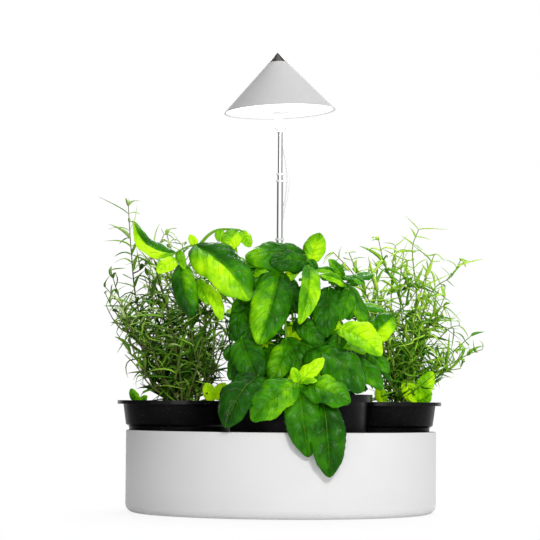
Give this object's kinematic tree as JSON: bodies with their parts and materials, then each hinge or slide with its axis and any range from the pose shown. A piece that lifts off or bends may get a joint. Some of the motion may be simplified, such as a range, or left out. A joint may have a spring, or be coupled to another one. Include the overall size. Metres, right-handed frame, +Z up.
{
  "type": "indoor herb planter",
  "caption": "Round planter bowl with potted herbs that lift out and a telescopic grow lamp whose conical shade tilts.",
  "frame": {"origin": "centre of the bowl's underside, on the surface it stands on", "axes": "+Z up, +X to the viewer's right, the front with the basil faces -Y"},
  "size_m": [0.3906, 0.3896, 0.4412],
  "materials": {
    "bowl_shell": "satin",
    "nursery_pot": "satin",
    "growing_medium": "matte",
    "basil": "satin",
    "rosemary": "matte",
    "tarragon": "matte",
    "shade_paint": "satin",
    "cap_dark": "gloss",
    "pole_metal": "polished",
    "ring_plastic": "gloss",
    "hinge_metal": "satin",
    "stake_plastic": "matte",
    "slide_nylon": "matte",
    "fastener_steel": "satin",
    "heat_sink_metal": "satin",
    "board_coating": "matte",
    "chip_phosphor": "gloss",
    "diffuser_plastic": "satin",
    "lead_jacket": "satin",
    "plug_plastic": "satin",
    "plug_metal": "polished"
  },
  "bodies": {
    "bowl_body": {"bowl": "bowl_shell", "cable_coil": "lead_jacket", "cable_tail": "lead_jacket", "plug_body": "plug_plastic", "plug_shell": "plug_metal"},
    "left_plant": {"left_pot": "nursery_pot", "left_soil": "growing_medium", "rosemary_shoots": "rosemary"},
    "right_plant": {"right_pot": "nursery_pot", "right_soil": "growing_medium", "tarragon_shoots": "tarragon"},
    "front_plant": {"front_pot": "nursery_pot", "front_soil": "growing_medium", "basil_shoots": "basil", "cable_table_stretch": "lead_jacket"},
    "stake": {"ground_stake": "stake_plastic", "outer_tube": "pole_metal", "outer_collar": "ring_plastic", "cable_lower_stretch": "lead_jacket"},
    "lower_stage": {"lower_tube": "pole_metal", "lower_ring": "ring_plastic", "lower_bush": "slide_nylon", "cable_middle_stretch": "lead_jacket"},
    "middle_stage": {"middle_tube": "pole_metal", "middle_ring": "ring_plastic", "middle_bush": "slide_nylon", "cable_upper_stretch": "lead_jacket"},
    "top_stage": {"top_tube": "pole_metal", "top_bush": "slide_nylon", "tilt_knuckle": "hinge_metal", "cable_grommet": "plug_plastic", "cable_top_stretch": "lead_jacket"},
    "head": {"shade_yoke": "hinge_metal", "hinge_pin": "fastener_steel", "shade": "shade_paint", "shade_cap": "cap_dark", "centre_rod": "fastener_steel", "clamp_nut": "fastener_steel", "diffuser": "diffuser_plastic", "led_board": "board_coating", "led_chips": "chip_phosphor", "board_screws": "fastener_steel", "heat_sink": "heat_sink_metal"}
  },
  "joints": [
    {"name": "left_lift", "type": "slide", "parent": "bowl_body", "child": "left_plant", "axis": [0, 0, 1], "range_m": [0, 0.13]},
    {"name": "right_lift", "type": "slide", "parent": "bowl_body", "child": "right_plant", "axis": [0, 0, 1], "range_m": [0, 0.13]},
    {"name": "front_lift", "type": "slide", "parent": "bowl_body", "child": "front_plant", "axis": [0, 0, 1], "range_m": [0, 0.13], "deforming": ["cable_table_stretch"]},
    {"name": "stake_pull", "type": "slide", "parent": "front_plant", "child": "stake", "axis": [0, 0, 1], "range_m": [0, 0.09], "deforming": ["cable_lower_stretch"]},
    {"name": "lower_slide", "type": "slide", "parent": "stake", "child": "lower_stage", "axis": [0, 0, 1], "range_m": [-0.05, 0.095], "deforming": ["cable_middle_stretch"]},
    {"name": "middle_slide", "type": "slide", "parent": "lower_stage", "child": "middle_stage", "axis": [0, 0, 1], "range_m": [-0.004, 0.135], "deforming": ["cable_upper_stretch"]},
    {"name": "top_slide", "type": "slide", "parent": "middle_stage", "child": "top_stage", "axis": [0, 0, 1], "range_m": [-0.034, 0.095], "deforming": ["cable_top_stretch"]},
    {"name": "shade_tilt", "type": "hinge", "parent": "top_stage", "child": "head", "pos_m": [-0.0028, -0.042, 0.3698], "axis": [1, 0, 0], "range_deg": [-60, 60]}
  ]
}
